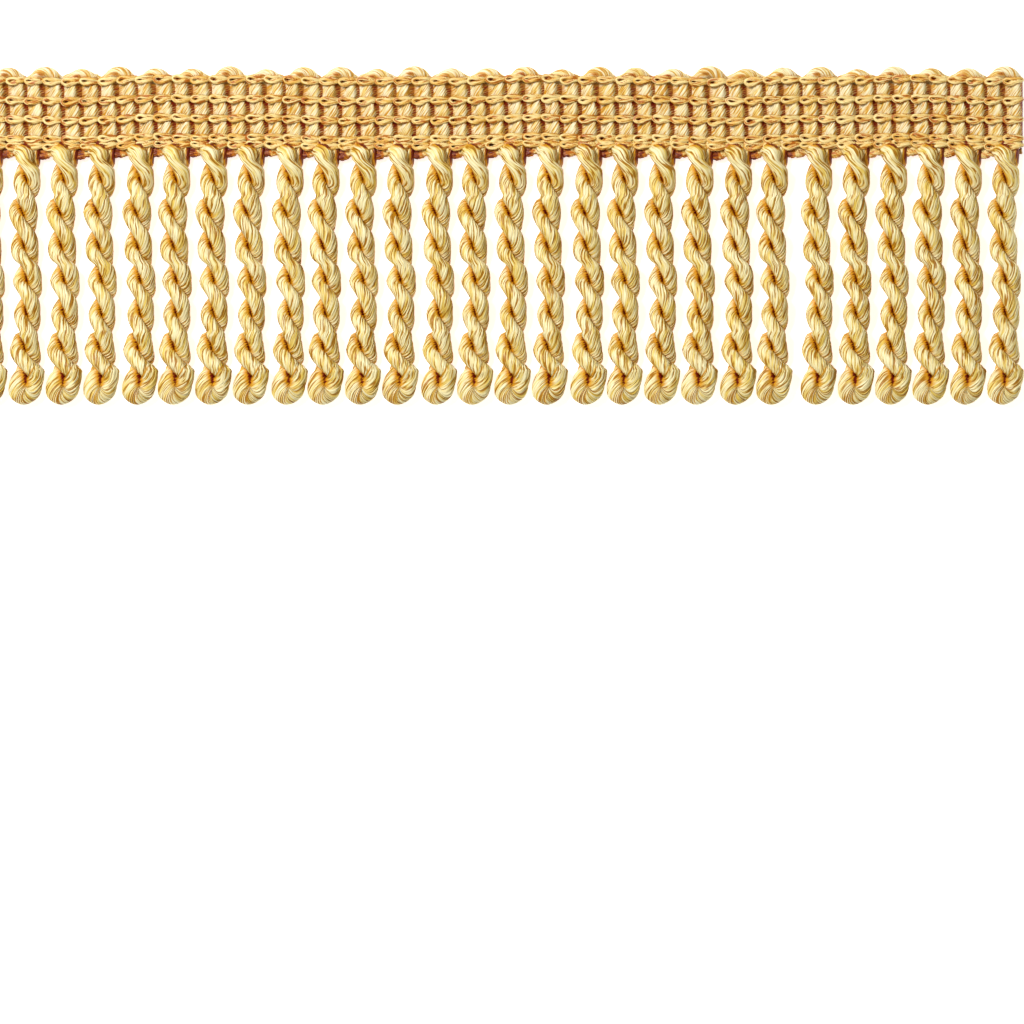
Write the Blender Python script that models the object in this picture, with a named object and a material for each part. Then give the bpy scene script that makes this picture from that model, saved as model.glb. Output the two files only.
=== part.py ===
"""Cord fringe trim: a chain-stitched gimp heading with a row of twisted cord loops.

The trim lies on its back. +X runs along the heading, +Y points from the cords to the
scalloped edge, and +Z comes out of the face. The origin is the middle of the whole
trim's outline, on the plane that it lies on.

One thick yarn zigzags up and down the heading. At the top it turns over in a scallop.
At the bottom it hangs in a loop, and the two legs of the loop twist round each other
into a cord. Rows of chain stitch hold the upright yarns side by side.
"""

import math
from collections import namedtuple

import bmesh
import bpy
from mathutils import Matrix, Vector

MM = 0.001

# How the cords stand along the trim
CORD_COUNT = 28
CORD_PITCH = 6.73 * MM
SHIFTED_EVERY = 4
SHIFTED_BY = 0.25 * MM
CORDS_BEFORE_WIDE_SPACE = 22
WIDE_SPACE = 1.26 * MM

# One twisted cord, from the strip down to the end of its loop
TWIST_TOP = 15.6 * MM
HALF_TURN = 6.05 * MM
HALF_TURNS = 7
RINGS_PER_HALF_TURN = 3
LOOP_RINGS = 4
LOOP_SIDE_REACH = 3.0 * MM
LOOP_END_REACH = 3.65 * MM
CORD_RADIUS = 2.48 * MM
LEG_INNER = 0.16 * MM
LEG_MIDDLE = 1.3 * MM
LEG_HALF_WIDTH = 1.6 * MM
FACE_FULLNESS = 1.1

# The cords' roots, and the narrow strip that they are fused into
STRIP_BOTTOM = 14.05 * MM
STRIP_TOP = 15.36 * MM
STRIP_THICKNESS = 3.3 * MM
ROOT_HEIGHT = 14.95 * MM
ROOT_LEVEL = 1.6 * MM
ROOT_ANGLE = math.radians(25)
ROOT_SCALE = 0.7

# The heading's upright yarns, two above each cord
YARN_OFFSET = 1.69 * MM
YARN_HALF_WIDTH = 1.2 * MM
END_MARGIN = 3.4 * MM

# The scalloped edge, and how far the stitch rows wander
VALLEY_HEIGHT = 28.62 * MM
SCALLOP_RISE = 1.55 * MM
SCALLOP_UNEVENNESS = 0.25 * MM
SCALLOP_CYCLE = 2.4
DRIFT_LONG = 0.22 * MM
DRIFT_LONG_WAVE = 62 * MM
DRIFT_START = 0.6
DRIFT_SHORT = 0.12 * MM
DRIFT_SHORT_WAVE = 23 * MM

# Sections across the heading from its lower edge up, in millimetres: where each one
# lies, how much of the wander it takes, and how thick the heading is there over an
# upright yarn and between two of them
Section = namedtuple("Section", "height drift over_yarn between_yarns")
SECTIONS = (
    Section(15.66, 0.0, 1.8, 1.3),
    Section(16.35, 0.3, 3.2, 2.3),
    Section(17.70, 1.0, 3.6, 2.6),
    Section(18.45, 1.0, 2.6, 1.0),
    Section(20.10, 1.0, 2.6, 1.0),
    Section(20.95, 1.0, 3.5, 2.3),
    Section(21.80, 1.0, 2.6, 1.0),
    Section(23.55, 1.0, 2.6, 1.0),
    Section(24.45, 1.0, 3.5, 2.3),
    Section(25.35, 1.0, 2.6, 1.0),
    Section(27.05, 1.0, 2.6, 1.0),
    Section(28.00, 0.5, 3.5, 2.3),
)

# Sections across the scallops above the last stitch row: the share of the way up to the
# scalloped edge, and the thickness in a valley and at a scallop's crown
ScallopSection = namedtuple("ScallopSection", "share in_valley at_crown")
SCALLOP_SECTIONS = (
    ScallopSection(0.62, 1.5, 2.7),
    ScallopSection(1.0, 0.9, 1.2),
)

GOLD_YARN = (0.70, 0.49, 0.18, 1.0)
DEEP_GOLD_YARN = (0.62, 0.40, 0.13, 1.0)
YARN_ROUGHNESS = 0.42


def clear_scene():
    for thing in list(bpy.data.objects):
        bpy.data.objects.remove(thing, do_unlink=True)


def new_collection(name):
    collection = bpy.data.collections.new(name)
    bpy.context.scene.collection.children.link(collection)
    return collection


def yarn_material(name, colour):
    material = bpy.data.materials.new(name)
    material.use_nodes = True
    shader = material.node_tree.nodes["Principled BSDF"]
    shader.inputs["Base Color"].default_value = colour
    shader.inputs["Roughness"].default_value = YARN_ROUGHNESS
    shader.inputs["Metallic"].default_value = 0.0
    material.diffuse_color = colour
    return material


def add_object(name, bm, collection, material=None):
    """Turn the faces outwards and hand the mesh over to a named object."""
    bmesh.ops.recalc_face_normals(bm, faces=bm.faces)
    mesh = bpy.data.meshes.new(name)
    bm.to_mesh(mesh)
    bm.free()
    if material:
        mesh.materials.append(material)
    thing = bpy.data.objects.new(name, mesh)
    collection.objects.link(thing)
    return thing


def cord_centres():
    """Where each cord hangs along X, with the whole row centred on the origin."""
    places = []
    for number in range(CORD_COUNT):
        place = number * CORD_PITCH
        if number and number % SHIFTED_EVERY == 0 and number < CORDS_BEFORE_WIDE_SPACE:
            place += SHIFTED_BY
        if number >= CORDS_BEFORE_WIDE_SPACE:
            place += WIDE_SPACE
        places.append(place)
    middle = (places[0] + places[-1]) / 2
    return [place - middle for place in places]


def leg_frame(turn, height, axis_level, scale=1.0, opposite=False):
    """Frame of one leg's section: X points out from the cord's axis, Y across the leg."""
    side = -1 if opposite else 1
    out = Vector((-math.cos(turn) * side, 0, math.sin(turn) * side))
    across = Vector((math.sin(turn), 0, math.cos(turn)))
    frame = Matrix((out, across, out.cross(across))).transposed().to_4x4()
    frame = frame @ Matrix.Diagonal((scale, scale, 1, 1))
    frame.translation = Vector((0, height, axis_level))
    return frame


def loop_frame(angle, height, axis_level):
    """Frame of a section in the turn at the loop's end, with the eye almost closed."""
    reach = LOOP_SIDE_REACH + (LOOP_END_REACH - LOOP_SIDE_REACH) * math.sin(angle)
    out = Vector((math.cos(angle), -math.sin(angle), 0))
    across = Vector((0, 0, -1))
    frame = Matrix((out, across, out.cross(across))).transposed().to_4x4()
    frame = frame @ Matrix.Diagonal((reach / CORD_RADIUS, 1, 1, 1))
    frame.translation = Vector((0, height, axis_level))
    return frame


def cord_frames():
    """Every section frame of one loop of yarn: down one leg, round, and up the other."""
    step = math.pi / RINGS_PER_HALF_TURN
    drop = HALF_TURN / RINGS_PER_HALF_TURN
    axis_level = CORD_RADIUS * FACE_FULLNESS * math.sin(step)
    rings = range(1, HALF_TURNS * RINGS_PER_HALF_TURN)
    root = leg_frame(ROOT_ANGLE, ROOT_HEIGHT, ROOT_LEVEL, ROOT_SCALE)
    down = [leg_frame(n * step, TWIST_TOP - n * drop, axis_level) for n in rings]
    loop_height = TWIST_TOP - HALF_TURNS * HALF_TURN
    round_the_end = [
        loop_frame(n * math.pi / LOOP_RINGS, loop_height, axis_level)
        for n in range(LOOP_RINGS + 1)
    ]
    up = [
        leg_frame(n * step, TWIST_TOP - n * drop, axis_level, opposite=True)
        for n in reversed(rings)
    ]
    far_root = leg_frame(ROOT_ANGLE, ROOT_HEIGHT, ROOT_LEVEL, ROOT_SCALE, opposite=True)
    return [root] + down + round_the_end + up + [far_root]


def sweep_yarn(bm, frames):
    """Carry the yarn's four-sided section through the frames, closed at both ends."""
    profile = (
        Vector((LEG_INNER, 0, 0)),
        Vector((LEG_MIDDLE, LEG_HALF_WIDTH, 0)),
        Vector((CORD_RADIUS, 0, 0)),
        Vector((LEG_MIDDLE, -LEG_HALF_WIDTH, 0)),
    )
    ring = [bm.verts.new(frames[0] @ point) for point in profile]
    edges = [bm.edges.new((ring[n - 1], ring[n])) for n in range(len(ring))]
    bmesh.ops.contextual_create(bm, geom=edges)
    for before, after in zip(frames, frames[1:]):
        grown = bmesh.ops.extrude_edge_only(bm, edges=edges)["geom"]
        moved = [item for item in grown if isinstance(item, bmesh.types.BMVert)]
        edges = [
            item
            for item in grown
            if isinstance(item, bmesh.types.BMEdge) and all(v in moved for v in item.verts)
        ]
        bmesh.ops.transform(bm, matrix=after @ before.inverted(), verts=moved)
    bmesh.ops.contextual_create(bm, geom=edges)


def cords_mesh(centres):
    """All the twisted cords, each a little fuller towards the face than it is wide."""
    bm = bmesh.new()
    frames = cord_frames()
    fuller = Matrix.Diagonal((1, 1, FACE_FULLNESS, 1))
    for centre in centres:
        placed = []
        for frame in frames:
            turned = frame.copy()
            turned.translation = Vector((0, 0, 0))
            moved = Matrix.Translation(frame.translation + Vector((centre, 0, 0)))
            placed.append(moved @ fuller @ turned)
        sweep_yarn(bm, placed)
    bmesh.ops.triangulate(bm, faces=bm.faces, quad_method="SHORT_EDGE")
    return bm


def strip_mesh(centres):
    """The narrow bar that holds the cords' roots, parted into one cell for each cord."""
    bm = bmesh.new()
    length = centres[-1] - centres[0] + 2 * END_MARGIN
    bmesh.ops.create_cube(bm, size=1)
    size = Vector((length, STRIP_TOP - STRIP_BOTTOM, STRIP_THICKNESS))
    bmesh.ops.scale(bm, vec=size, verts=bm.verts)
    middle = Vector((0, (STRIP_TOP + STRIP_BOTTOM) / 2, STRIP_THICKNESS / 2))
    bmesh.ops.translate(bm, vec=middle, verts=bm.verts)
    for left, right in zip(centres, centres[1:]):
        whole = bm.verts[:] + bm.edges[:] + bm.faces[:]
        cut = Vector(((left + right) / 2, 0, 0))
        bmesh.ops.bisect_plane(bm, geom=whole, plane_co=cut, plane_no=(1, 0, 0), dist=1e-6)
    return bm


def nearest_cord(x, centres):
    return min(range(len(centres)), key=lambda number: abs(centres[number] - x))


def scallop_edge(x, centres):
    """Height of the scalloped edge at x, and how near it is to a scallop's crown."""
    number = nearest_cord(x, centres)
    beside = number + (1 if x > centres[number] else -1)
    if 0 <= beside < len(centres):
        half_space = abs(centres[beside] - centres[number]) / 2
    else:
        half_space = CORD_PITCH / 2
    crown = 1 - (1 - min(abs(x - centres[number]) / half_space, 1)) ** 2
    scallop = number if x > centres[number] else number - 1
    rise = SCALLOP_RISE + SCALLOP_UNEVENNESS * math.sin(SCALLOP_CYCLE * scallop)
    return VALLEY_HEIGHT + rise * crown, crown


def row_drift(x):
    long_wave = DRIFT_LONG * math.sin(2 * math.pi * x / DRIFT_LONG_WAVE + DRIFT_START)
    short_wave = DRIFT_SHORT * math.sin(2 * math.pi * x / DRIFT_SHORT_WAVE)
    return long_wave + short_wave


def heading_columns(centres):
    """Where the heading is sampled along X, and whether a yarn's crest lies there."""
    columns = [(centres[0] - END_MARGIN, False)]
    for centre in centres:
        for yarn in (centre - YARN_OFFSET, centre + YARN_OFFSET):
            columns.append((yarn - YARN_HALF_WIDTH, False))
            columns.append((yarn, True))
            columns.append((yarn + YARN_HALF_WIDTH, False))
    columns.append((centres[-1] + END_MARGIN, False))
    return columns


def heading_point(x, on_yarn, row, centres):
    """A point of the heading's face: upright yarns with the stitch rows over them."""
    if row < len(SECTIONS):
        section = SECTIONS[row]
        thickness = section.over_yarn if on_yarn else section.between_yarns
        return Vector((x, section.height * MM + section.drift * row_drift(x), thickness * MM))
    section = SCALLOP_SECTIONS[row - len(SECTIONS)]
    last = SECTIONS[-1]
    start = last.height * MM + last.drift * row_drift(x)
    edge, crown = scallop_edge(x, centres)
    thickness = section.in_valley + (section.at_crown - section.in_valley) * crown
    return Vector((x, start + section.share * (edge - start), thickness * MM))


def heading_mesh(centres):
    """The heading as one solid: its modelled face, upright rims and a flat back."""
    bm = bmesh.new()
    columns = heading_columns(centres)
    across = len(columns) - 1
    up = len(SECTIONS) + len(SCALLOP_SECTIONS) - 1
    bmesh.ops.create_grid(bm, x_segments=across, y_segments=up, size=0.5)
    for vert in bm.verts:
        column = round((vert.co.x + 0.5) * across)
        row = round((vert.co.y + 0.5) * up)
        x, on_yarn = columns[column]
        vert.co = heading_point(x, on_yarn, row, centres)
    rim = [edge for edge in bm.edges if edge.is_boundary]
    grown = bmesh.ops.extrude_edge_only(bm, edges=rim)["geom"]
    lowered = [item for item in grown if isinstance(item, bmesh.types.BMVert)]
    for vert in lowered:
        vert.co.z = 0
    open_edges = [edge for edge in bm.edges if edge.is_boundary]
    bmesh.ops.contextual_create(bm, geom=open_edges)
    return bm


def main():
    clear_scene()
    trim = new_collection("cord fringe trim")
    helpers = new_collection("joined shapes")
    centres = cord_centres()
    heading_yarn = yarn_material("heading yarn", DEEP_GOLD_YARN)
    cord_yarn = yarn_material("cord yarn", GOLD_YARN)
    add_object("heading", heading_mesh(centres), trim, heading_yarn)
    cords = add_object("cords", cords_mesh(centres), helpers)
    cords.hide_render = True
    cords.display_type = "WIRE"
    fringe = add_object("cord_fringe", strip_mesh(centres), trim, cord_yarn)
    fuse = fringe.modifiers.new("fuse the cords' roots", "BOOLEAN")
    fuse.operation = "UNION"
    fuse.solver = "EXACT"
    fuse.object = cords


main()
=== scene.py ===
import math

import bmesh
import bpy
import numpy as np
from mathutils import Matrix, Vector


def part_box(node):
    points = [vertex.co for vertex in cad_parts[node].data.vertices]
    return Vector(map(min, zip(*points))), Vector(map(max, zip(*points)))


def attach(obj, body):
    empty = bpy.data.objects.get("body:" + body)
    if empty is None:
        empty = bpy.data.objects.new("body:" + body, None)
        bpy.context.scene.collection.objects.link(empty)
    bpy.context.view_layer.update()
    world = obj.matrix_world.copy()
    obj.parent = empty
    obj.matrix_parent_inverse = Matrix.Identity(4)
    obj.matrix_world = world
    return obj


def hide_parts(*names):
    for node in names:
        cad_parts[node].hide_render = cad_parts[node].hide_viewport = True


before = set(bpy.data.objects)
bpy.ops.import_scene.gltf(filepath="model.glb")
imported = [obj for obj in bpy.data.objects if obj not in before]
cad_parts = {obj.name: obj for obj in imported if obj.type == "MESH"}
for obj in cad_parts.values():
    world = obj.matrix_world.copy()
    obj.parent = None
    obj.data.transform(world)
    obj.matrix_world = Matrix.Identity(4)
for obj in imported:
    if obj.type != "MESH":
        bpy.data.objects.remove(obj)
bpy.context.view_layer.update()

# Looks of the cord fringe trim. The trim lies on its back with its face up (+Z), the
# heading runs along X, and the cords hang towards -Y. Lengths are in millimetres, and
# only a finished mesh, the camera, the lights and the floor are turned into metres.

MM = 0.001
TRIM_END = (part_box("heading")[1] / MM).x

# The picture's frame: how large a millimetre is in it, and which point is its middle
PICTURE_WIDTH_PX = 1024
MM_PER_PX = 0.18
PICTURE_MIDDLE = (2.88, -49.86)
LENS = 400
SENSOR = 36
CLIP_START = 0.01
CLIP_END = 100
FACE_LEVEL = 3.0

# How the cords stand along the trim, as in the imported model
CORD_COUNT = 28
CORD_PITCH = 6.73
SHIFTED_EVERY = 4
SHIFTED_BY = 0.25
CORDS_BEFORE_WIDE_SPACE = 22
WIDE_SPACE = 1.26

# One twisted cord. Its axis is a little flattened, because the cord lies on a table
TWIST_TOP = 15.84
HALF_TURN = 6.04
CORD_RADIUS = 2.48
CORD_FLATNESS = 0.95
LEG_OFFSET = 1.26
LEG_HALF_DEPTH = CORD_RADIUS - LEG_OFFSET
LEG_HALF_WIDTH = 1.27
AXIS_LEVEL = CORD_RADIUS * CORD_FLATNESS
TWIST_FOOT = -24.0
SLIT_END = -26.4
TABLE_CLEARANCE = 0.02

# The two roots of a cord, and where each leg passes from its root into the twist
YARN_OFFSET = 1.69
ROOT_LEVEL = 1.33
ROOT_TOP = 17.0
FRONT_ROOT_HALF_WIDTH = 1.5
BACK_ROOT_HALF_WIDTH = 1.15
ROOT_HALF_DEPTH = 1.2
FRONT_ROOT_SHIFT = 0.95
FRONT_SHIFT_BLEND = (12.3, 15.0)
FRONT_ROOT_BULGE = 0.36
FRONT_BULGE_BLEND = (12.9, 14.4)
FRONT_BLEND = (16.4, 14.2)
BACK_BLEND = (14.2, 11.6)

# The turn at the cord's end: across, up the trim, and over the cord's axis
LOOP_ROUTE = (
    (1.4, -24.8, 0.85),
    (1.66, -25.9, 0.45),
    (1.5, -27.0, 0.15),
    (1.18, -28.05, -0.05),
    (0.0, -28.76, -0.1),
    (-1.15, -28.15, 0.0),
    (-1.56, -27.1, 0.05),
    (-1.52, -26.1, -0.2),
    (-1.1, -25.1, -0.8),
)

# How the yarn changes in the end loop, within these lengths from the loop's middle: its
# section is fuller, fullest at the bottom and at the right shoulder, and reaches further
# past the cord's axis. A drop is a distance below the origin
LOOP_BLEND = (2.0, 6.5)
LOOP_FULLNESS = 0.13
BOTTOM_FULLNESS = 0.46
BOTTOM_DROP = (25.8, 28.3)
SHOULDER_FULLNESS = 0.3
SHOULDER_TOP_DROP = (24.0, 24.6)
SHOULDER_FOOT_DROP = (25.5, 27.0)
PAST_AXIS = 0.14
PAST_AXIS_IN_LOOP = 0.3
INNER_EXCESS = 0.3
INNER_EXCESS_IN_LOOP = 0.4
LOOP_GROOVE = 0.7

# How fast the fibres turn about the yarn: length from the loop's middle, and lead there
FIBRE_LEADS = (
    (-50.0, 60.0),
    (-48.0, 25.0),
    (-45.5, 6.0),
    (-8.5, 6.0),
    (-6.4, 4.5),
    (-5.2, 3.2),
    (-4.2, 11.0),
    (-2.5, 13.0),
    (-0.8, 3.0),
    (0.8, 3.0),
    (2.2, 6.0),
    (4.5, 8.0),
    (7.5, 6.0),
    (47.5, 6.0),
    (50.0, 20.0),
)

# The twist isn't even: at these heights the cord stands this far to one side, and is
# this much wider or narrower than an even twist
UNEVENNESS = (
    (16.0, 0.0, 1.0),
    (13.5, -0.15, 1.03),
    (12.9, 0.15, 1.03),
    (11.9, 0.5, 1.07),
    (10.3, 0.3, 0.99),
    (8.6, 0.3, 1.04),
    (7.0, 0.35, 1.06),
    (6.5, -0.17, 1.17),
    (5.4, -0.32, 1.13),
    (4.3, -0.4, 1.09),
    (2.2, -0.2, 1.02),
    (0.9, 0.1, 1.1),
    (-2.2, -0.13, 1.02),
    (-3.8, -0.03, 1.07),
    (-4.4, 0.11, 1.13),
    (-4.9, 0.36, 1.14),
    (-5.4, 0.75, 1.07),
    (-8.5, 0.32, 1.07),
    (-10.4, 0.85, 1.06),
    (-11.3, 0.85, 1.05),
    (-14.0, 0.3, 0.98),
    (-17.4, 0.62, 1.04),
    (-17.8, 0.24, 1.2),
    (-18.4, 0.06, 1.13),
    (-18.9, 0.0, 1.05),
    (-19.5, 0.02, 1.06),
    (-20.5, -0.13, 1.1),
    (-23.2, 0.44, 1.31),
    (-23.8, 0.3, 1.1),
    (-24.3, 0.56, 1.08),
    (-25.0, 0.3, 1.02),
    (-26.0, 0.2, 1.0),
    (-27.0, 0.1, 1.0),
    (-28.1, -0.05, 0.965),
    (-31.0, -0.35, 1.0),
)

# Painted shade that a finish reads: 0 is none, 0.5 the painted shade of a hollow, 1 the
# darker painted shade of a crevice. Here is how the painted shade in the crevice between a
# cord's legs fades with the distance from its middle
CREVICE_FADE = ((0.6, 1.0), (0.9, 0.97), (1.15, 0.55), (1.75, 0.2), (2.3, 0.0))
CREVICE_SHIFT = 0.15
CREVICE_LEFT_SIDE = (-0.1, 0.3)
CREVICE_RIGHT_EXCESS = 0.3
CREVICE_UPPER_HALF = (-0.9, 0.1)
CREVICE_BOTTOM_DROP = (23.5, 24.3)
CREVICE_LEAST = 0.35
# Painted shade on the left leg where it lies behind the front one
BEHIND_SHADE = 0.5
BEHIND_FROM = 0.6
BEHIND_REACH = 1.9
# A painted shadow beside the back leg's root
BESIDE_ROOT_ACROSS = (1.75, 2.35)
BESIDE_ROOT_HEIGHT = (12.0, 13.4)

# The line of painted shade over each front root, which slopes down to the right, and what is
# above it, where that painted shade is lighter
ROOT_LINE_SLOPE = 0.62
ROOT_LINE_LOW = (15.95, 16.1)
ROOT_LINE_HIGH = (16.3, 16.45)
ROOT_LINE_END = (0.9, 1.1)
ABOVE_LINE_LIGHT = 0.7

# Painted shade along the crease where the yarn folds over into the end loop: from here to
# here, across and up
CREASE_TOP = (1.2, -23.5)
CREASE_FOOT = (0.15, -26.2)
CREASE_REACH = 0.3
CREASE_SHADE = 0.62

# Painted shade on the leg's own lower edges, and on one fold between bundles of fibre in the
# end loop
EDGE_SHADE = 0.36
EDGE_REACH = 0.55
EDGE_BOTTOM_DROP = (26.8, 28.4)
EDGE_BOTTOM_LIGHT = 0.8
FOLD_SHADE = 0.95
FOLD_START = (0.0, 0.4)
FOLD_END = (1.0, 1.5)
FOLD_FROM_AXIS = (1.5, 2.1)

# The yarn's surface: bundles of fibre round it, and the mesh that shows them
BUNDLES = 12
POINTS_PER_BUNDLE = 3
AROUND = BUNDLES * POINTS_PER_BUNDLE
GROOVE_DEPTH = 0.075
FIBRE_RADIUS = 1.32
RING_SPACING = 0.5
LOOP_RING_SPACING = 0.13
ROUTE_STEP = 0.25
POINTS_PER_SPAN = 6
SCALLOP_RINGS = 76
MERGE_DISTANCE = 1e-4

# How much one yarn differs from the next, and what starts each kind's random draws
CORD_SEED = 7
SCALLOP_SEED = 11
STITCH_SEED = 23
FIBRE_START = 400
FIBRE_TURN = 6
CORD_THICKNESS_RANGE = (0.985, 1.0)
CORD_WIDTH_RANGE = (0.985, 1.01)

# The heading's scallop yarns, which are evenly spaced, a little closer than the cords
HEADING_PITCH = 6.65
VALLEY_HEIGHT = 28.62
SCALLOP_RISE = 1.55
SCALLOP_UNEVENNESS = 0.25
SCALLOP_CYCLE = 2.4
CROWN_HALF_WIDTH = 1.14
CROWN_EXCESS = 0.1
CROWN_FLATNESS = 0.86
CROWN_POINTS = 9
CROWN_BLEND = (26.2, 28.2)
TOP_LEAN = 0.5
TOP_LEAN_BLEND = (22.5, 25.5)

# Their upright parts, the columns, which spread at the foot of their section
COLUMN_LEVEL = 1.35
COLUMN_SHIFT = 0.55
COLUMN_HALF_WIDTH = 1.1
COLUMN_HALF_DEPTH = 1.15
COLUMN_SPREAD = 2.1
COLUMN_SPREAD_END = (27.6, 28.6)
COLUMN_FOOT = 15.8
COLUMN_STEP = 0.8
LEFT_TOP_GAP = 0.4
RIGHT_TOP_GAP = 0.6
FOOT_ALLOWANCE = 0.01
COLUMN_LEAD = 8.2
COLUMN_GROOVE = 0.8
CREST_TO_RIGHT = 0.45
SPREAD_BELOW = 0.3
TIED_WIDTH = 0.84
TIED_DEPTH = 0.8
TIED_SINK = 0.12
TIED_REACH = 0.75

# How much painted shade the heading's yarns get: on the right flank, toothed and darkest in
# the upper part of a cell, on the left foot, in a dark patch in a crown, and under a stitch row
CELL_BLEND = (0.3, 0.85)
FLANK_TEETH = 0.1
FLANK_START = 0.95
FLANK_START_IN_CELL = 0.3
FLANK_END = 1.1
FLANK_END_IN_CELL = 0.22
GAP_LIGHT = 0.58
GAP_FROM = (1.45, 1.8)
LEFT_FOOT_FROM = (0.96, 1.2)
CROWN_PATCH_FROM_PEAK = (-0.75, -0.3)
CROWN_PATCH_SIZE = (0.85, 0.38)
CROWN_PATCH_FADE = (0.3, 1.3)
CROWN_PATCH_SHADE = 0.75
UNDER_CROWN_SHADE = 0.3
UNDER_CROWN_HEIGHT = (28.2, 30.0)
UNDER_CROWN_SIDE = 0.3
UNDER_ROW_REACH = (0.3, 0.5)

# The chain-stitch rows, of which the last lies over the cords' roots, and their wander
ROW_SPACING = 3.5
ROW_HEIGHTS = (27.99, 24.48, 20.97, 17.5, 16.3)
LOWEST_TIED_ROW = 3
DRIFT_LONG = 0.22
DRIFT_LONG_WAVE = 62
DRIFT_START = 0.6
DRIFT_SHORT = 0.12
DRIFT_SHORT_WAVE = 23

# The stitching thread, of two plies
THREAD_HALF_WIDTH = 0.42
THREAD_HALF_DEPTH = 0.31
THREAD_SIDES = 8
THREAD_STEPS = 2
THREAD_LEAD = 4.2
THREAD_TILT = 0.15
THREAD_CLEARANCE = 0.01
SIDE_NUDGE = 1e-6
PLY_GROOVE = 0.25
# Painted shade: in the ply grooves, on the thread's lower side, and where it dives low
PLY_GROOVE_SHADE = 0.8
THREAD_EDGE_SHADE = 0.42
THREAD_EDGE_FADE = (-0.2, 0.5)
THREAD_SHADE_LEVELS = (1.2, 1.9)

# One chain stitch: along it (0 is at its own hole, 1 at the next), up the trim, over the
# table, and how thick the thread is there. Its head lies round the hole, at left
STITCH_SHIFT = 0.45
STITCH_HEIGHT_RANGE = (0.8, 1.2)
STITCH_LEAN_RANGE = (-0.1, 0.5)
STITCH_ROUTE = (
    (1.0, 0.0, 1.2, 0.7),
    (0.88, 0.04, 2.0, 0.95),
    (0.64, 0.16, 2.42, 1.15),
    (0.38, 0.26, 2.5, 1.15),
    (0.12, 0.42, 2.48, 0.85),
    (-0.06, 0.34, 2.44, 0.75),
    (-0.13, 0.04, 2.44, 0.75),
    (-0.06, -0.3, 2.46, 0.8),
    (0.08, -0.52, 2.5, 0.95),
    (0.26, -0.5, 2.52, 1.2),
    (0.46, -0.36, 2.5, 1.25),
    (0.7, -0.2, 2.44, 1.15),
    (0.9, -0.08, 2.0, 0.95),
    (1.02, -0.04, 1.2, 0.7),
    (1.3, 0.0, 0.4, 0.8),
    (1.7, 0.0, 0.36, 0.9),
)
STITCH_UNDERSIDE = 1
END_INSET = 0.1
END_SQUEEZE = 0.3

# The row of heavier stitches behind the cords' roots. It has painted shade beside each root,
# on its right, and that is repeated with the cords' shifts
BACK_ROW_HEIGHT = 15.1
BACK_ROW_DROP = 1.1
BACK_ROW_SIZE = 1.7
BACK_ROW_DARK_BESIDE = (2.4, 2.8)
BACK_ROW_REPEAT = SHIFTED_EVERY * CORD_PITCH
BACK_ROW_DARKEST = 0.85
BACK_ROW_PLY_SHADE = 0.4

# The yarn finish: streaks (scale for each millimetre, stretch along the fibres, detail),
# and where their brightness, the painted shade and the painted shade of grooves turn one
# colour into the next
BROAD_STREAKS = (1.2, 0.18, 1.0)
FINE_STREAKS = (2.9, 0.15, 1.5)
STREAK_ROUGHNESS = 0.6
BROAD_SHARE = 0.4
LIGHT_STREAKS = (0.42, 0.58)
DARK_STREAKS = (0.36, 0.47)
GROOVE_SHADE = 0.4
SHADE_WITHOUT_STREAKS = 0.3
SHADE_WITH_STREAKS = 1.4
HOLLOW_SHADE_SPAN = (0.1, 0.55)
CREVICE_SHADE_SPAN = (0.5, 0.95)
YARN_ROUGHNESS = 0.34
ROUGHNESS_CHANGE = 0.16
YARN_SPECULAR = 0.5
BUMP_STRENGTH = 0.9
BUMP_DISTANCE = 0.0004

# The table, the lamp and the room, in metres and watts
TABLE_HALF_SIZE = 3
TABLE_LEVEL = -0.00001
TABLE_GREY = 0.9
TABLE_ROUGHNESS = 0.9
TABLE_SPECULAR = 0.1
TABLE_GLOW = 0.75
LAMP_PLACE = (-0.55, 0.4, 1.0)
LAMP_SIZE = 0.35
LAMP_POWER = 14.5
LAMP_TINT = (1.0, 0.985, 0.96)
ROOM_COLOUR = (1, 0.92, 0.62, 1)
ROOM_STRENGTH = 0.37


# Places along the trim, and curves


def cord_centres():
    """Where each cord hangs along X, with the whole row centred on the origin."""
    places = []
    for number in range(CORD_COUNT):
        place = number * CORD_PITCH
        if number and number % SHIFTED_EVERY == 0 and number < CORDS_BEFORE_WIDE_SPACE:
            place += SHIFTED_BY
        if number >= CORDS_BEFORE_WIDE_SPACE:
            place += WIDE_SPACE
        places.append(place)
    middle = (places[0] + places[-1]) / 2
    return [place - middle for place in places]


def heading_places(centres):
    """Where one scallop yarn ends and the next one begins, from beyond the left end on."""
    return [centres[0] + number * HEADING_PITCH for number in range(-1, CORD_COUNT + 1)]


def stitch_places(places):
    """The gaps between upright yarns, where each stitch begins and ends."""
    gaps = [-TRIM_END]
    for place, beside in zip(places, places[1:] + [places[-1] + CORD_PITCH]):
        gaps += [place, (place + beside) / 2]
    inside = [gap for gap in gaps if gap < TRIM_END - CORD_PITCH / 4]
    return inside + [TRIM_END]


def row_drift(x):
    """How far the stitch rows wander up or down at x."""
    long_wave = DRIFT_LONG * np.sin(2 * math.pi * x / DRIFT_LONG_WAVE + DRIFT_START)
    return long_wave + DRIFT_SHORT * np.sin(2 * math.pi * x / DRIFT_SHORT_WAVE)


def ease(value, low, high):
    """Rises smoothly from 0 at low to 1 at high."""
    share = np.clip((value - low) / (high - low), 0, 1)
    return share * share * (3 - 2 * share)


def unit(vectors):
    return vectors / np.linalg.norm(vectors, axis=-1, keepdims=True)


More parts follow.
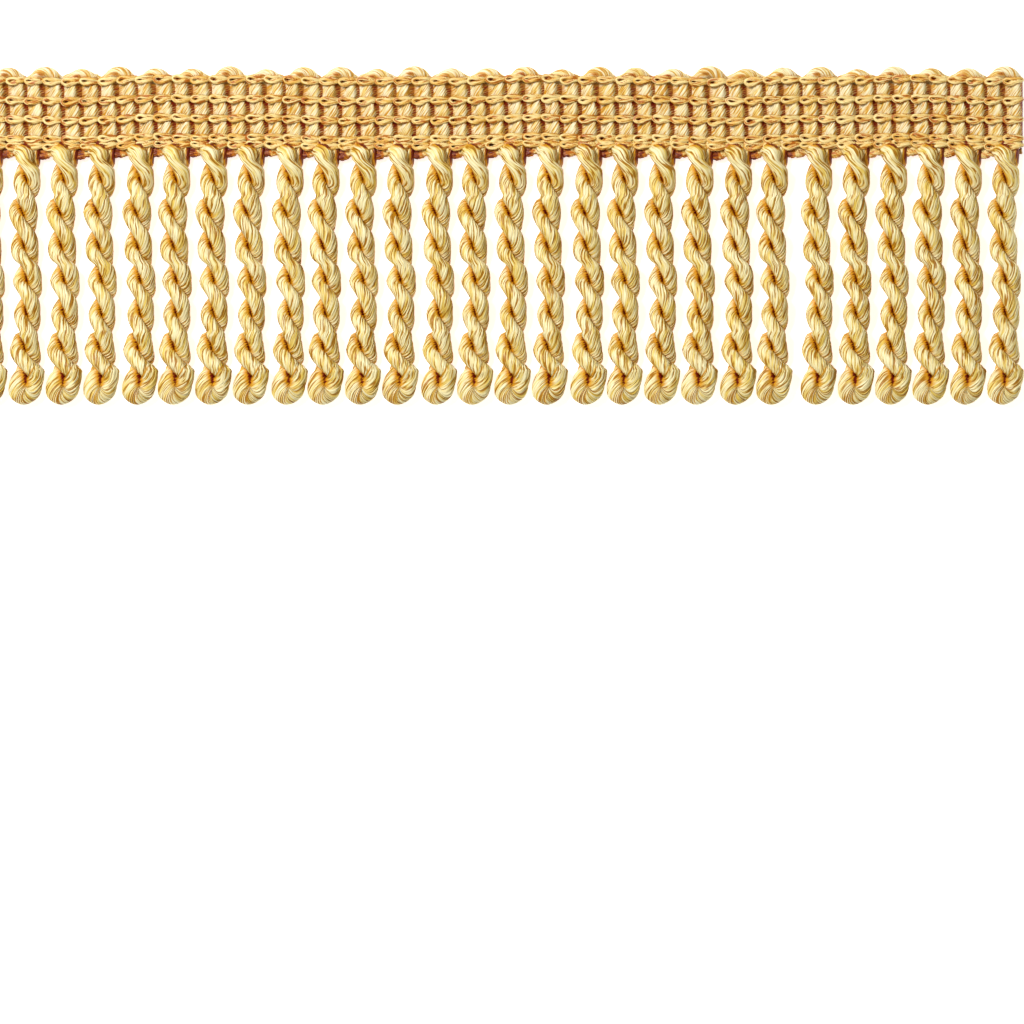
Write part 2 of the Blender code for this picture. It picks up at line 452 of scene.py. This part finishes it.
def through(points, per_span):
    """A smooth curve through the points (Catmull-Rom), as closely spaced points."""
    points = np.asarray(points, float)
    ends = (2 * points[0] - points[1], 2 * points[-1] - points[-2])
    padded = np.vstack((ends[0], points, ends[1]))
    a, b, c, d = (padded[n : len(points) - 1 + n, None] for n in range(4))
    t = np.linspace(0, 1, per_span, endpoint=False)[None, :, None]
    squared = (2 * a - 5 * b + 4 * c - d) * t**2
    cubed = (3 * b - a - 3 * c + d) * t**3
    curve = 0.5 * (2 * b + (c - a) * t + squared + cubed)
    return np.vstack((curve.reshape(-1, points.shape[1]), points[-1]))


def lengths_along(path):
    steps = np.linalg.norm(np.diff(path[:, :3], axis=0), axis=1)
    return np.concatenate(([0], np.cumsum(steps)))


def resample(path, places):
    """The path's points at these lengths along it."""
    along = lengths_along(path)
    return np.stack([np.interp(places, along, column) for column in path.T], axis=1)


# Yarn as a mesh


def tube_template(name, steps, around):
    """A closed tube of faces, and where each of its points stands along and round it."""
    bm = bmesh.new()
    bmesh.ops.create_grid(bm, x_segments=around, y_segments=steps - 1, size=0.5)
    for vert in bm.verts:
        turn = 2 * math.pi * (vert.co.x + 0.5)
        ring = round((vert.co.y + 0.5) * (steps - 1))
        vert.co = (math.cos(turn), math.sin(turn), ring)
    bmesh.ops.remove_doubles(bm, verts=bm.verts, dist=MERGE_DISTANCE)
    rims = [edge for edge in bm.edges if edge.is_boundary]
    bmesh.ops.holes_fill(bm, edges=rims, sides=around)
    bmesh.ops.recalc_face_normals(bm, faces=bm.faces)
    places = np.array([vert.co for vert in bm.verts])
    row = np.round(places[:, 2]).astype(int)
    turn = np.arctan2(places[:, 1], places[:, 0]) / (2 * math.pi)
    column = np.round(turn * around).astype(int) % around
    mesh = bpy.data.meshes.new(name)
    bm.to_mesh(mesh)
    bm.free()
    smooth = [len(face.vertices) == 4 for face in mesh.polygons]
    mesh.polygons.foreach_set("use_smooth", smooth)
    return mesh, row, column


def place_of(painted_shade, groove):
    """What a finish reads at each point: how much painted shade it gets, and how much painted
    shade a groove gets.
    """
    return np.stack((painted_shade, groove, np.zeros_like(painted_shade)), axis=-1)


def yarn_piece(name, template, rings, fibre, place, finish, node):
    """A yarn as its own object: its rings of points, and what its finish reads."""
    source, row, column = template
    mesh = source.copy()
    mesh.name = name
    mesh.vertices.foreach_set("co", (rings[row, column] * MM).ravel())
    for label, values in (("fibre", fibre), ("place", place)):
        layer = mesh.attributes.new(label, "FLOAT_VECTOR", "POINT")
        layer.data.foreach_set("vector", values[row, column].ravel())
    mesh.update()
    mesh.materials.append(finish)
    piece = bpy.data.objects.new(name, mesh)
    bpy.context.scene.collection.objects.link(piece)
    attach(piece, "root")
    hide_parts(node)


def yarn_surface(path, out, section, phase, groove):
    """Rings of points on a yarn, with its bundles of fibre running round it.

    section turns a cosine and a sine, counted from the side that out points to, into how
    far the surface stands out and across. phase is how far the fibres have turned.
    """
    tangent = unit(np.gradient(path, axis=0))
    out = unit(out - tangent * np.sum(out * tangent, axis=1, keepdims=True))
    across = np.cross(tangent, out)
    slots = np.arange(AROUND)
    angle = phase[:, None] + 2 * math.pi * slots[None, :] / AROUND
    crest = np.where(slots % POINTS_PER_BUNDLE == 0, 1.0, 0.0)
    deep = 1 - groove[:, None] * crest[None, :] / FIBRE_RADIUS
    side, over = section(np.cos(angle), np.sin(angle))
    side, over = side * deep, over * deep
    rings = path[:, None] + side[..., None] * out[:, None] + over[..., None] * across[:, None]
    along = lengths_along(path)
    material_turn = 2 * math.pi * slots / AROUND
    fibre = np.stack(
        (
            np.broadcast_to(FIBRE_RADIUS * np.cos(material_turn), angle.shape),
            np.broadcast_to(FIBRE_RADIUS * np.sin(material_turn), angle.shape),
            np.broadcast_to(along[:, None], angle.shape),
        ),
        axis=-1,
    )
    return rings, fibre, np.broadcast_to(crest, angle.shape)


# The twisted cords


def leg_route(side, heights, blend):
    """One leg's middle line down the twist; side is -1 for the leg that starts at left."""
    turn = math.pi * (TWIST_TOP - np.minimum(heights, TWIST_TOP)) / HALF_TURN
    share = ease(-heights, -blend[0], -blend[1])
    x = side * ((1 - share) * YARN_OFFSET + share * LEG_OFFSET * np.cos(turn))
    x += (side < 0) * FRONT_ROOT_SHIFT * ease(heights, *FRONT_SHIFT_BLEND)
    lift = -side * LEG_OFFSET * np.sin(turn)
    z = (1 - share) * ROOT_LEVEL + share * (AXIS_LEVEL + CORD_FLATNESS * lift)
    return np.stack((x, heights, z), axis=1)


def cord_route():
    """The whole loop of yarn: down the first leg, round the end and up the second."""
    heights = np.arange(ROOT_TOP, TWIST_FOOT, -ROUTE_STEP)
    turn = np.array(LOOP_ROUTE)
    turn[:, 2] = AXIS_LEVEL + CORD_FLATNESS * turn[:, 2]
    front = leg_route(-1, heights, FRONT_BLEND)
    back = leg_route(1, heights[::-1], BACK_BLEND)
    return through(np.vstack((front, turn, back)), POINTS_PER_SPAN)


def cord_path():
    """Where the cord's rings stand, closer together in the end loop.

    With each: its length from the loop's middle, how far in the loop it is, and how far
    the fibres have turned there.
    """
    route = cord_route()
    along = lengths_along(route)
    middle = along[-1] / 2
    in_loop = 1 - ease(np.abs(along - middle), *LOOP_BLEND)
    density = 1 / RING_SPACING + in_loop / LOOP_RING_SPACING
    count = np.concatenate(([0], np.cumsum(density[1:] * np.diff(along))))
    steps = int(count[-1])
    places = np.interp(np.linspace(0, count[-1], steps), count, along)
    lead = np.interp(along - middle, *zip(*FIBRE_LEADS))
    turned = np.concatenate(([0], np.cumsum(2 * math.pi / lead[1:] * np.diff(along))))
    phase = np.interp(places, along, turned)
    in_loop = np.interp(places, along, in_loop)
    return resample(route, places), places - middle, in_loop, phase


def leg_section(path, out, front, in_loop, root):
    """How far the yarn reaches from its middle: outwards, inwards, and to its sides."""
    drop = -path[:, 1]
    low = ease(drop, *BOTTOM_DROP)
    shoulder = ease(drop, *SHOULDER_TOP_DROP) * (1 - ease(drop, *SHOULDER_FOOT_DROP))
    outer = LEG_HALF_DEPTH + LOOP_FULLNESS * in_loop + BOTTOM_FULLNESS * low
    outer = outer + SHOULDER_FULLNESS * shoulder * (path[:, 0] > 0)
    inner = np.linalg.norm(out, axis=1) + PAST_AXIS + PAST_AXIS_IN_LOOP * in_loop
    inner = np.minimum(outer + INNER_EXCESS + INNER_EXCESS_IN_LOOP * in_loop, inner)
    root_width = root * np.where(front, FRONT_ROOT_HALF_WIDTH, BACK_ROOT_HALF_WIDTH)
    bulge = FRONT_ROOT_BULGE * front * ease(path[:, 1], *FRONT_BULGE_BLEND)
    outer = outer * (1 - root) + root_width + bulge
    inner = inner * (1 - root) + root_width + bulge
    width = LEG_HALF_WIDTH * (1 - root) + ROOT_HALF_DEPTH * root + bulge * (1 - root)
    return outer, inner, width


def from_line(x, y, start, end):
    """Distance from the line between two points."""
    along_x, along_y = end[0] - start[0], end[1] - start[1]
    share = (x - start[0]) * along_x + (y - start[1]) * along_y
    share = np.clip(share / (along_x**2 + along_y**2), 0, 1)
    return np.hypot(x - start[0] - share * along_x, y - start[1] - share * along_y)


def cord_painted_shade(rings, from_axis, in_loop):
    """How much painted shade each point of a cord gets.

    The painted shade of a crevice is darkest in its upper half, where the left leg comes out
    from behind.
    """
    x, y, z = np.moveaxis(rings, -1, 0)
    on_left = 1 - ease(x, *CREVICE_LEFT_SIDE)
    upper_half = np.sin(2 * math.pi * (y - TWIST_TOP) / HALF_TURN)
    dark = np.maximum(ease(upper_half, *CREVICE_UPPER_HALF), ease(-y, *CREVICE_BOTTOM_DROP))
    near = from_axis + CREVICE_RIGHT_EXCESS * (1 - on_left) * (1 - 0.5 * in_loop)
    crevice_shade = np.interp(near, *zip(*CREVICE_FADE))
    crevice_shade = crevice_shade * (CREVICE_LEAST + (1 - CREVICE_LEAST) * dark)
    # Painted shade on the left leg behind the front one, a painted shadow beside the back root,
    # a line of painted shade over the front root, and painted shade in the crease
    behind = BEHIND_SHADE * ease(AXIS_LEVEL + BEHIND_FROM - z, 0, BEHIND_REACH)
    behind = behind * (1 - in_loop) * on_left
    beside_root = ease(x, *BESIDE_ROOT_ACROSS) * ease(y, *BESIDE_ROOT_HEIGHT)
    past_root = y + ROOT_LINE_SLOPE * x
    above_root = 1 - ABOVE_LINE_LIGHT * ease(past_root, *ROOT_LINE_HIGH)
    above_root = ease(past_root, *ROOT_LINE_LOW) * above_root
    above_root = above_root * (1 - ease(x, *ROOT_LINE_END))
    from_crease = from_line(x, y, CREASE_TOP, CREASE_FOOT)
    crease = CREASE_SHADE * (1 - ease(from_crease, 0, CREASE_REACH)) * (z > AXIS_LEVEL)
    return np.max((crevice_shade, behind, beside_root, above_root, crease), axis=0)


def leg_edge_painted_shade(rings, path):
    """Painted shade on the leg's lower edges, less of it at the loop's bottom."""
    over_leg = (rings[..., 2] - path[:, None, 2]) / LEG_HALF_WIDTH
    at_bottom = ease(-rings[..., 1], *EDGE_BOTTOM_DROP)
    edge = EDGE_SHADE * (1 - EDGE_BOTTOM_LIGHT * at_bottom)
    return edge * (1 - ease(over_leg, 0, EDGE_REACH))


def fold_painted_shade(from_middle, crest, from_axis):
    """Painted shade in the grooves between bundles in the end loop's fold."""
    in_fold = ease(from_middle, *FOLD_START) * (1 - ease(from_middle, *FOLD_END))
    return FOLD_SHADE * in_fold[:, None] * crest * ease(from_axis, *FOLD_FROM_AXIS)


def cord_rings():
    """Points, fibre places and painted shade of one cord that hangs at x = 0."""
    path, from_middle, in_loop, phase = cord_path()
    front = np.arange(len(path)) < len(path) / 2
    axis_x = front * FRONT_ROOT_SHIFT * ease(path[:, 1], *FRONT_SHIFT_BLEND)
    axis_y = np.maximum(path[:, 1], SLIT_END)
    axis = np.stack((axis_x, axis_y, np.full(len(path), AXIS_LEVEL)), axis=1)
    out = path - axis
    blend = np.where(front[:, None], FRONT_BLEND, BACK_BLEND)
    root = ease(path[:, 1], blend[:, 1], blend[:, 0])
    outer, inner, width = leg_section(path, out, front, in_loop, root)
    out[:, 2] *= 1 - root

    def section(cosine, sine):
        reach = np.where(cosine > 0, outer[:, None], inner[:, None])
        return cosine * reach, sine * width[:, None]

    groove = GROOVE_DEPTH * (1 + LOOP_GROOVE * in_loop)
    rings, fibre, crest = yarn_surface(path, out, section, phase, groove)
    # Painted shade in the crevice, on the leg's edges and in the loop's fold
    centre_x = np.full_like(crest, CREVICE_SHIFT)
    centre_y = np.maximum(rings[..., 1], SLIT_END)
    centre = np.stack((centre_x, centre_y, np.full_like(crest, AXIS_LEVEL)), axis=-1)
    from_axis = np.linalg.norm(rings - centre, axis=-1)
    painted_shade = cord_painted_shade(rings, from_axis, in_loop[:, None])
    # Painted shade on the leg's lower edges and in the loop's fold
    painted_shade = np.maximum(painted_shade, leg_edge_painted_shade(rings, path))
    painted_shade = np.maximum(painted_shade, fold_painted_shade(from_middle, crest, from_axis))
    heights, sways, widths = np.array(UNEVENNESS[::-1]).T
    spread = np.interp(rings[..., 1], heights, widths)
    rings[..., 0] = rings[..., 0] * spread + np.interp(rings[..., 1], heights, sways)
    rings[..., 2] = np.maximum(rings[..., 2], TABLE_CLEARANCE)
    return rings, fibre, place_of(painted_shade, crest)


def make_cords(centres, finish):
    rings, fibre, place = cord_rings()
    template = tube_template("cord tube", rings.shape[0], AROUND)
    random = np.random.default_rng(CORD_SEED)
    for number, centre in enumerate(centres, 1):
        moved = rings * (1, 1, random.uniform(*CORD_THICKNESS_RANGE))
        moved[..., 0] = centre + rings[..., 0] * random.uniform(*CORD_WIDTH_RANGE)
        other = fibre + (0, 0, random.uniform(0, FIBRE_START))
        name = f"cord_{number:02d}"
        yarn_piece(name, template, moved, other, place, finish, "cord_fringe")


# The heading's yarns


def scallop_route(left, right, number):
    """Up the column at left, over in a scallop and down the column at right."""
    rise = SCALLOP_RISE + SCALLOP_UNEVENNESS * math.sin(SCALLOP_CYCLE * number)
    crown = VALLEY_HEIGHT + rise - CROWN_HALF_WIDTH + CROWN_EXCESS
    middle = (left + right - TOP_LEAN) / 2
    half = (right - left + TOP_LEAN) / 2
    bend = []
    for turn in np.linspace(0, math.pi, CROWN_POINTS):
        below = half * CROWN_FLATNESS * (1 - math.sin(turn))
        bend.append((middle - half * math.cos(turn), crown - below))
    left_top = bend[0][1] - LEFT_TOP_GAP
    right_top = bend[-1][1] - RIGHT_TOP_GAP
    foot = COLUMN_FOOT - FOOT_ALLOWANCE
    up = []
    for y in np.arange(COLUMN_FOOT, left_top, COLUMN_STEP):
        up.append((left - TOP_LEAN * ease(y, *TOP_LEAN_BLEND), y))
    down = [(right, y) for y in np.arange(right_top, foot, -COLUMN_STEP)]
    flat = np.array(up + bend + down)
    points = np.column_stack((flat, np.full(len(flat), COLUMN_LEVEL)))
    return through(points, POINTS_PER_SPAN)


def tied_share(path):
    """How firmly the stitch rows tie the yarn down at each point of its path."""
    tied = np.zeros(len(path))
    for height in ROW_HEIGHTS[: LOWEST_TIED_ROW + 1]:
        from_row = path[:, 1] - height - row_drift(path[:, 0])
        tied = np.maximum(tied, np.exp(-((from_row / TIED_REACH) ** 2)))
    return tied


def flank_painted_shade(rings, aside, crest):
    """Painted shade in the gaps beside an upright yarn."""
    from_row = rings[..., 1] - row_drift(rings[..., 0]) - ROW_HEIGHTS[LOWEST_TIED_ROW]
    in_cell = ease((from_row / ROW_SPACING) % 1, *CELL_BLEND)
    flank_start = FLANK_START - FLANK_START_IN_CELL * in_cell
    flank_end = FLANK_END - FLANK_END_IN_CELL * in_cell
    right_flank = ease(aside + FLANK_TEETH * crest, flank_start, flank_end)
    right_flank = right_flank * (1 - GAP_LIGHT * ease(aside, *GAP_FROM))
    left_foot = (1 - GAP_LIGHT) * ease(-aside, *LEFT_FOOT_FROM)
    return np.maximum(right_flank, left_foot)


def crown_painted_shade(rings, path, aside):
    """Painted shade on the inside of a crown, with its dark patch of painted shade."""
    peak = path[np.argmax(path[:, 1]), :2] + CROWN_PATCH_FROM_PEAK
    from_patch = np.hypot(*((rings[..., n] - peak[n]) / CROWN_PATCH_SIZE[n] for n in (0, 1)))
    patch = CROWN_PATCH_SHADE * (1 - ease(from_patch, *CROWN_PATCH_FADE))
    inside = UNDER_CROWN_SHADE * (1 - ease(rings[..., 1], *UNDER_CROWN_HEIGHT))
    return np.maximum(patch, inside * (aside < UNDER_CROWN_SIDE))


def under_row_painted_shade(rings):
    """Painted shade on a yarn where a stitch row lies over it."""
    level = rings[..., 1] - row_drift(rings[..., 0])
    from_row = np.min([abs(level - height) for height in ROW_HEIGHTS], axis=0)
    return 1 - ease(from_row, *UNDER_ROW_REACH)


def scallop_rings(route, steps, random):
    """Points of one scallop yarn, pinched where the stitch rows tie it down."""
    places = np.linspace(0, lengths_along(route)[-1], steps)
    path = resample(route, places)
    tied = tied_share(path)
    tangent = unit(np.gradient(path, axis=0))
    out = np.cross((0, 0, 1), tangent)
    at_crown = ease(path[:, 1], *CROWN_BLEND)
    half_width = COLUMN_HALF_WIDTH + (CROWN_HALF_WIDTH - COLUMN_HALF_WIDTH) * at_crown
    half_width = (half_width * (1 + (TIED_WIDTH - 1) * tied))[:, None]
    half_depth = (COLUMN_HALF_DEPTH * (1 + (TIED_DEPTH - 1) * tied))[:, None]
    upright = 1 - at_crown[:, None]
    beside = 1 - ease(path[:, 1:2], *COLUMN_SPREAD_END)
    to_right = unit(out)[:, :1] * upright
    path[:, 2] -= TIED_SINK * tied

    def section(cosine, sine):
        spread = COLUMN_SPREAD * np.where(cosine < 0, 1, beside)
        low = np.clip(SPREAD_BELOW - sine, 0, 1)
        crest = 1 + CREST_TO_RIGHT * cosine * to_right * (sine > 0)
        return cosine * half_width * (1 + spread * low), sine * half_depth * crest

    phase = 2 * math.pi * places / COLUMN_LEAD + random.uniform(0, FIBRE_TURN)
    groove = np.full(steps, GROOVE_DEPTH * COLUMN_GROOVE)
    rings, fibre, crest = yarn_surface(path, out, section, phase, groove)
    rings[..., 0] = np.clip(rings[..., 0], -TRIM_END, TRIM_END)
    rings[..., 2] = np.maximum(rings[..., 2], TABLE_CLEARANCE)
    fibre = fibre + (0, 0, random.uniform(0, FIBRE_START))
    aside = (rings[..., 0] - path[:, None, 0]) / half_width
    # Painted shade on the flanks and in the gaps, inside the crown and under the stitch rows
    flank = flank_painted_shade(rings, aside, crest) * upright
    crown = crown_painted_shade(rings, path, aside) * (1 - upright)
    painted_shade = np.max((flank, crown, under_row_painted_shade(rings)), axis=0)
    return rings, fibre, place_of(painted_shade, crest)


def make_scallops(places, finish):
    """A scallop yarn between each two of the heading's places; the first one is cut."""
    random = np.random.default_rng(SCALLOP_SEED)
    whole = tube_template("scallop tube", SCALLOP_RINGS, AROUND)
    cut = tube_template("end scallop tube", SCALLOP_RINGS // 2, AROUND)
    for number, (start, end) in enumerate(zip(places, places[1:])):
        left = start + YARN_OFFSET + COLUMN_SHIFT
        right = end - YARN_OFFSET + COLUMN_SHIFT
        route = scallop_route(left, right, number - 1)
        template, steps = whole, SCALLOP_RINGS
        if left < -TRIM_END:
            route = route[route[:, 0] >= -TRIM_END]
            template, steps = cut, SCALLOP_RINGS // 2
        rings, fibre, place = scallop_rings(route, steps, random)
        name = f"scallop_yarn_{number + 1:02d}"
        yarn_piece(name, template, rings, fibre, place, finish, "heading")


# The rows of chain stitch


def chain_route(gaps, height, random, drop):
    """The route of a row's one thread through all its stitches, and how thick it is."""
    points = []
    for start, end in zip(gaps, gaps[1:]):
        upper, lower = random.uniform(*STITCH_HEIGHT_RANGE, 2)
        lean = random.uniform(*STITCH_LEAN_RANGE)
        for along, up, over, size in STITCH_ROUTE:
            x = start + STITCH_SHIFT + along * (end - start)
            beyond = abs(x) - TRIM_END + END_INSET
            if beyond > 0:
                x = math.copysign(TRIM_END - END_INSET - END_SQUEEZE * beyond, x)
            tall = upper if up > 0 else lower
            y = height + row_drift(x) + up * tall + lean * (along - 0.5)
            z = over - drop * (over > STITCH_UNDERSIDE)
            points.append((x, y, z, size))
    return np.array(points)


def make_chain(name, gaps, height, finish, node, random, drop=0.0, size=1.0):
    route = through(chain_route(gaps, height, random, drop), THREAD_STEPS)
    path, size = route[:, :3], size * route[:, 3:]
    tangent = unit(np.gradient(path, axis=0))
    side = unit(np.cross(tangent, (0.0, THREAD_TILT, 1.0)) + SIDE_NUDGE)
    over = np.cross(tangent, side)
    along = lengths_along(path)[:, None] + random.uniform(0, FIBRE_START)
    slots = np.arange(THREAD_SIDES)
    turn = 2 * math.pi * (slots / THREAD_SIDES + along / THREAD_LEAD)
    groove = np.broadcast_to(slots % (THREAD_SIDES // 2) == 0, turn.shape)
    reach = size * (1 - PLY_GROOVE * groove)
    wide = THREAD_HALF_WIDTH * reach * np.cos(turn)
    deep = THREAD_HALF_DEPTH * reach * np.sin(turn)
    rings = path[:, None] + wide[..., None] * side[:, None] + deep[..., None] * over[:, None]
    rings[..., 2] = np.maximum(rings[..., 2], THREAD_CLEARANCE)
    fibre = np.stack((wide, deep, np.broadcast_to(along, wide.shape)), axis=-1)
    # Painted shade where the thread dives low and on its lower side
    painted_shade = 1 - ease(rings[..., 2] + drop, *THREAD_SHADE_LEVELS)
    edge = 1 - ease(-np.sin(turn), *THREAD_EDGE_FADE)
    painted_shade = np.maximum(painted_shade, THREAD_EDGE_SHADE * edge)
    if drop:
        # Painted shade in the back row beside each cord's root, and in its ply grooves
        from_cord = (rings[..., 0, None] - cord_centres()) % BACK_ROW_REPEAT
        beside_root = np.max(1 - ease(from_cord, *BACK_ROW_DARK_BESIDE), axis=-1)
        painted_shade = BACK_ROW_DARKEST * np.maximum(painted_shade, beside_root)
        painted_shade = np.maximum(painted_shade, BACK_ROW_PLY_SHADE * groove)
    # The ply grooves get painted shade too
    place = place_of(painted_shade, PLY_GROOVE_SHADE * groove)
    template = tube_template(name, len(path), THREAD_SIDES)
    yarn_piece(name, template, rings, fibre, place, finish, node)


def make_chains(centres, places, finish):
    """The stitch rows over the heading's yarns, and the row behind the cords' roots."""
    random = np.random.default_rng(STITCH_SEED)
    gaps = stitch_places(places[1:])
    for number, height in enumerate(ROW_HEIGHTS, 1):
        name = f"chain_row_{number}"
        make_chain(name, gaps, height, finish, "heading", random)
    between = [max(-TRIM_END, gap - CORD_PITCH / 4) for gap in stitch_places(centres)]
    make_chain(
        "back_chain_row",
        between,
        BACK_ROW_HEIGHT,
        finish,
        "cord_fringe",
        random,
        BACK_ROW_DROP,
        BACK_ROW_SIZE,
    )


# Finishes


class Finish:
    """A material that is being put together."""

    def __init__(self, name):
        self.material = bpy.data.materials.new(name)
        self.material.use_nodes = True
        self.tree = self.material.node_tree
        self.shader = self.tree.nodes["Principled BSDF"]

    def node(self, kind, settings=None, sockets=None, output=0):
        """Add a node: its settings first, then the values or links of its sockets."""
        made = self.tree.nodes.new(kind)
        for key, value in (settings or {}).items():
            setattr(made, key, value)
        self.plug(made, sockets or {})
        return Wire(self, made.outputs[output])

    def plug(self, node, sockets):
        for key, value in sockets.items():
            if isinstance(value, Wire):
                self.tree.links.new(value.socket, node.inputs[key])
            else:
                node.inputs[key].default_value = value

    def mix(self, share, first, second):
        """One colour turned into another by a share from 0 to 1."""
        colours = {"Factor": share, 6: first, 7: second}
        return self.node("ShaderNodeMix", {"data_type": "RGBA"}, colours, 2)


class Wire:
    """A socket whose value changes over the surface, with arithmetic as Math nodes."""

    def __init__(self, finish, socket):
        self.finish, self.socket = finish, socket

    def math(self, operation, *values):
        settings = {"operation": operation}
        return self.finish.node("ShaderNodeMath", settings, dict(enumerate(values)))

    def __add__(self, other):
        return self.math("ADD", self, other)

    def __rsub__(self, other):
        return self.math("SUBTRACT", other, self)

    def __mul__(self, other):
        return self.math("MULTIPLY", self, other)

    __radd__ = __add__
    __rmul__ = __mul__

    def between(self, low, high):
        """0 below low, 1 above high, and a smooth rise between them."""
        settings = {"interpolation_type": "SMOOTHSTEP"}
        sockets = {"Value": self, "From Min": low, "From Max": high}
        return self.finish.node("ShaderNodeMapRange", settings, sockets)


def colour(red, green, blue):
    """A colour that is written as on a screen, 0 to 255, as the shader takes it."""
    parts = [part / 255 for part in (red, green, blue)]
    return (*[p / 12.92 if p <= 0.04045 else ((p + 0.055) / 1.055) ** 2.4 for p in parts], 1.0)


def streaks(finish, fibre, scale, stretch, detail):
    """Brightness that changes fast round the yarn and slowly along its fibres."""
    drawn = finish.node(
        "ShaderNodeMapping", sockets={"Vector": fibre, "Scale": (1, 1, stretch)}
    )
    sockets = {"Vector": drawn, "Scale": scale, "Detail": detail, "Roughness": STREAK_ROUGHNESS}
    return finish.node("ShaderNodeTexNoise", sockets=sockets)


def yarn_finish(name, light, mid, deep, hollow_shade, crevice_shade):
    """Satin yarn: streaks that follow the fibres, with painted shade in grooves, hollows and
    crevices.
    """
    finish = Finish(name)
    fibre = finish.node("ShaderNodeAttribute", {"attribute_name": "fibre"}, output=1)
    place = finish.node("ShaderNodeAttribute", {"attribute_name": "place"}, output=1)
    painted_shade = finish.node("ShaderNodeSeparateXYZ", sockets={"Vector": place})
    groove = finish.node("ShaderNodeSeparateXYZ", sockets={"Vector": place}, output=1)
    broad = streaks(finish, fibre, *BROAD_STREAKS)
    fine = streaks(finish, fibre, *FINE_STREAKS)
    shade = (broad * BROAD_SHARE + fine * (1 - BROAD_SHARE)).between(*LIGHT_STREAKS)
    base = finish.mix(shade, mid, light)
    # Random dark streaks and painted shade in the grooves both turn the colour towards deep
    dark = groove * GROOVE_SHADE + (1 - fine.between(*DARK_STREAKS))
    base = finish.mix(dark.between(0.0, 1.0), base, deep)
    painted_shade = painted_shade * (SHADE_WITHOUT_STREAKS + SHADE_WITH_STREAKS * fine)
    # The hollow and crevice colours are painted shade
    base = finish.mix(painted_shade.between(*HOLLOW_SHADE_SPAN), base, hollow_shade)
    base = finish.mix(painted_shade.between(*CREVICE_SHADE_SPAN), base, crevice_shade)
    relief = {"Height": fine, "Strength": BUMP_STRENGTH, "Distance": BUMP_DISTANCE}
    bump = finish.node("ShaderNodeBump", sockets=relief)
    sockets = {
        "Base Color": base,
        "Roughness": YARN_ROUGHNESS + ROUGHNESS_CHANGE * fine,
        "Normal": bump,
        "Specular IOR Level": YARN_SPECULAR,
    }
    finish.plug(finish.shader, sockets)
    return finish.material


def cord_finish():
    return yarn_finish(
        "cord yarn",
        light=colour(251, 243, 200),
        mid=colour(232, 203, 96),
        deep=colour(170, 114, 4),
        hollow_shade=colour(216, 152, 16),
        crevice_shade=colour(116, 18, 0),
    )


def heading_finish():
    return yarn_finish(
        "heading yarn",
        light=colour(251, 242, 208),
        mid=colour(235, 208, 122),
        deep=colour(206, 146, 30),
        hollow_shade=colour(198, 132, 48),
        crevice_shade=colour(140, 22, 0),
    )


def chain_finish():
    return yarn_finish(
        "chain yarn",
        light=colour(248, 224, 158),
        mid=colour(230, 182, 84),
        deep=colour(180, 98, 0),
        hollow_shade=colour(206, 122, 16),
        crevice_shade=colour(112, 24, 0),
    )


def table_finish():
    finish = Finish("white table")
    sockets = {
        "Base Color": (TABLE_GREY, TABLE_GREY, TABLE_GREY, 1),
        "Roughness": TABLE_ROUGHNESS,
        "Specular IOR Level": TABLE_SPECULAR,
        "Emission Color": (1, 1, 1, 1),
        "Emission Strength": TABLE_GLOW,
    }
    finish.plug(finish.shader, sockets)
    return finish.material


# Camera, table and lights


def add_camera():
    data = bpy.data.cameras.new("camera")
    data.lens = LENS
    data.sensor_width = SENSOR
    data.clip_start = CLIP_START
    data.clip_end = CLIP_END
    camera = bpy.data.objects.new("camera", data)
    distance = PICTURE_WIDTH_PX * MM_PER_PX * LENS / SENSOR
    place = (*PICTURE_MIDDLE, FACE_LEVEL + distance)
    camera.location = [length * MM for length in place]
    bpy.context.scene.collection.objects.link(camera)
    bpy.context.scene.camera = camera


def add_table():
    bm = bmesh.new()
    bmesh.ops.create_grid(bm, x_segments=1, y_segments=1, size=TABLE_HALF_SIZE)
    mesh = bpy.data.meshes.new("floor")
    bm.to_mesh(mesh)
    bm.free()
    mesh.materials.append(table_finish())
    floor = bpy.data.objects.new("floor", mesh)
    floor.location.z = TABLE_LEVEL
    bpy.context.scene.collection.objects.link(floor)


def add_lighting():
    data = bpy.data.lights.new("key", "AREA")
    data.shape = "SQUARE"
    data.size = LAMP_SIZE
    data.energy = LAMP_POWER
    data.color = LAMP_TINT
    lamp = bpy.data.objects.new("key", data)
    lamp.location = LAMP_PLACE
    lamp.rotation_euler = (-lamp.location).to_track_quat("-Z", "Y").to_euler()
    bpy.context.scene.collection.objects.link(lamp)
    world = bpy.data.worlds.new("pale room")
    world.use_nodes = True
    sky = world.node_tree.nodes["Background"]
    sky.inputs["Color"].default_value = ROOM_COLOUR
    sky.inputs["Strength"].default_value = ROOM_STRENGTH
    bpy.context.scene.world = world
    bpy.context.scene.view_settings.view_transform = "Standard"


def main():
    add_camera()
    centres = cord_centres()
    places = heading_places(centres)
    make_cords(centres, cord_finish())
    make_scallops(places, heading_finish())
    make_chains(centres, places, chain_finish())
    add_table()
    add_lighting()


main()
